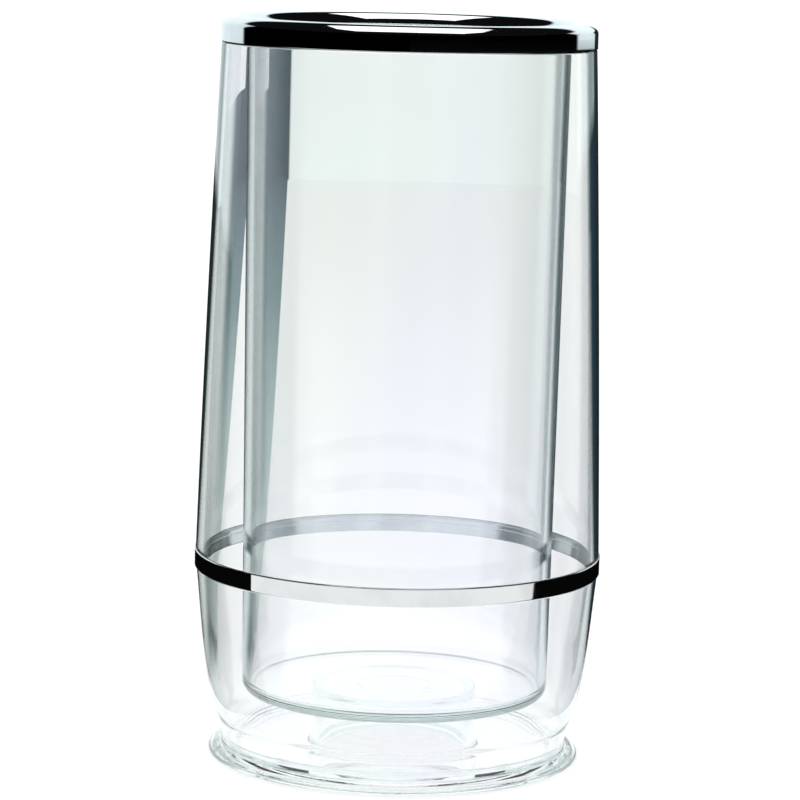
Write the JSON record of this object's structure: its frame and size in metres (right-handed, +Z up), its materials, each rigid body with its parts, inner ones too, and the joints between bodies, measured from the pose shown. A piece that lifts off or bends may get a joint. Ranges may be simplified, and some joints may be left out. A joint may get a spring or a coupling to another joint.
{
  "type": "double-wall bottle cooler",
  "caption": "Tall clear double-wall bottle cooler: a straight inner cup in a slightly flared outer shell on a tapered foot, with a plated rim and a plated waist band.",
  "frame": {"origin": "centre of the underside, on the plane the foot stands on", "axes": "+Z up along the turning axis, out of the mouth; the object is the same from every side, and -Y is taken as its front"},
  "size_m": [0.1298, 0.1298, 0.235],
  "materials": {
    "clear_plastic": "polished",
    "plated_band": "polished",
    "plated_rim": "polished"
  },
  "bodies": {
    "root": {"base_plate": "clear_plastic", "lower_bowl": "clear_plastic", "band_ring": "plated_band", "upper_shell": "clear_plastic", "inner_cup": "clear_plastic", "rim_ring": "plated_rim"}
  },
  "joints": []
}
